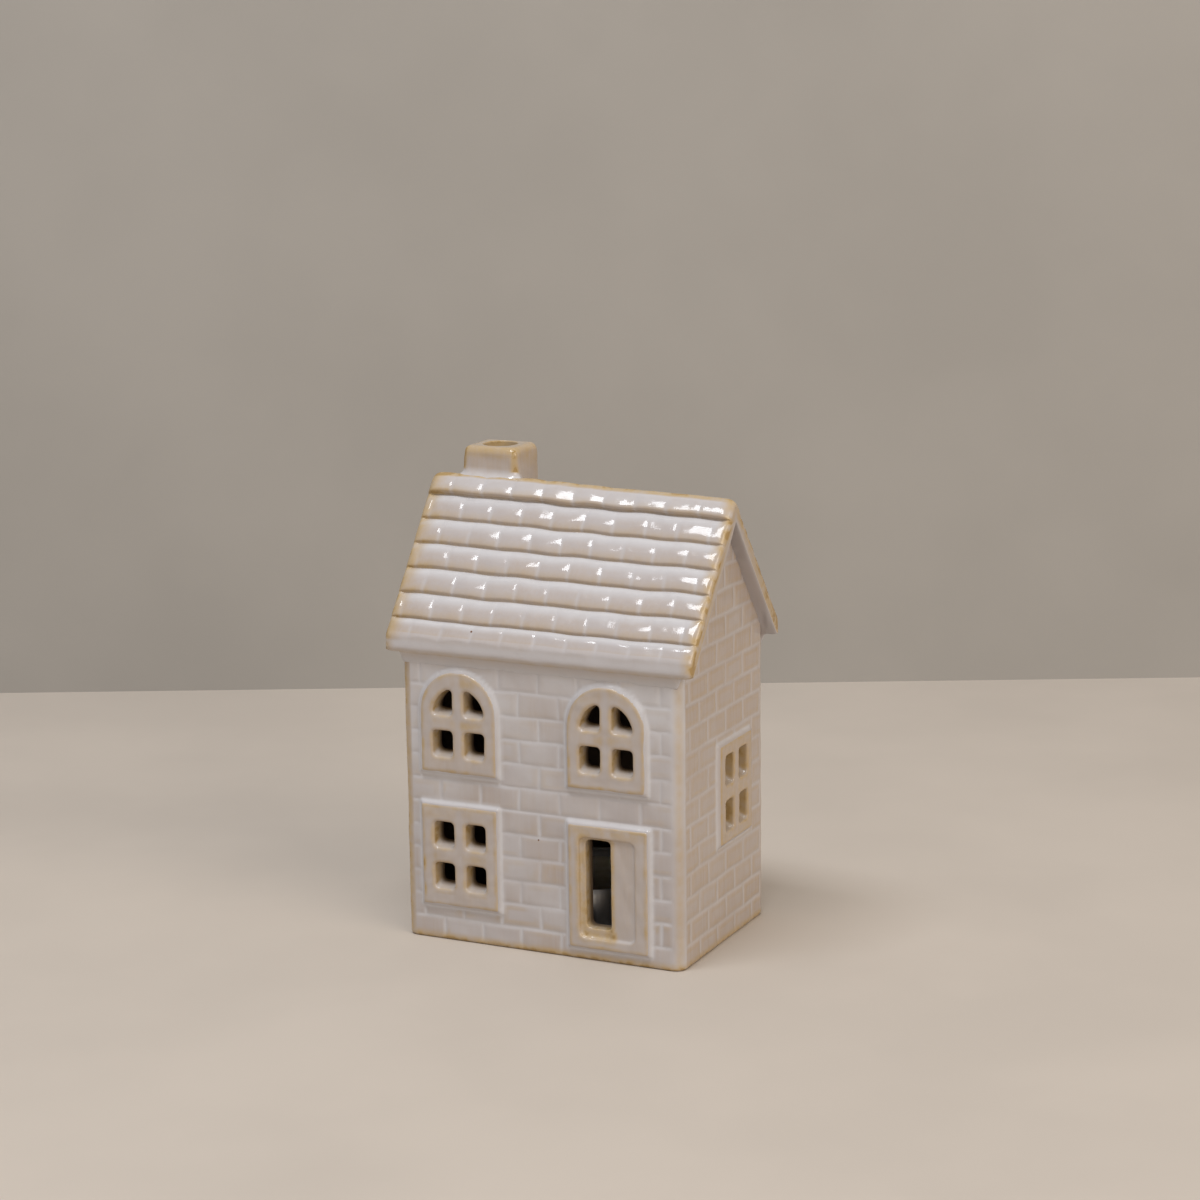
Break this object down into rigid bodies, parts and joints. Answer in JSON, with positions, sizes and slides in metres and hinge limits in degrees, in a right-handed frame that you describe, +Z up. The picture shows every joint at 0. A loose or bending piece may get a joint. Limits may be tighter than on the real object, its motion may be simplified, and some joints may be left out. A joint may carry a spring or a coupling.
{
  "type": "tealight house",
  "caption": "Glazed stoneware house with a tiled gable roof, brick walls and cut-out windows, open underneath and set down over a tealight.",
  "frame": {"origin": "middle of the footprint, level with the foot rim that the house stands on", "axes": "+Z up, +X to the right of someone who faces the front, the front with the door faces -Y"},
  "size_m": [0.0852, 0.0574, 0.1243],
  "materials": {
    "cream_glaze": "gloss reactive glaze that breaks to brown on the edges",
    "tealight_foil": "bright drawn foil",
    "paraffin_wax": "waxy satin",
    "cotton_wick": "waxed braid",
    "tinned_clip": "tinned sheet"
  },
  "bodies": {
    "tealight": {"tealight_cup": "tealight_foil", "tealight_wax": "paraffin_wax", "wick_clip": "tinned_clip", "wick": "cotton_wick"},
    "house": {"front_wall": "cream_glaze", "rear_wall": "cream_glaze", "left_gable_wall": "cream_glaze", "right_gable_wall": "cream_glaze", "front_roof_slope": "cream_glaze", "rear_roof_slope": "cream_glaze", "chimney": "cream_glaze", "upper_left_window": "cream_glaze", "upper_right_window": "cream_glaze", "lower_left_window": "cream_glaze", "right_gable_window": "cream_glaze", "door_surround": "cream_glaze", "door_leaf": "cream_glaze"}
  },
  "joints": [
    {"name": "house_lift", "type": "slide", "parent": "tealight", "child": "house", "axis": [0, 0, 1], "range_m": [0, 0.06]}
  ]
}
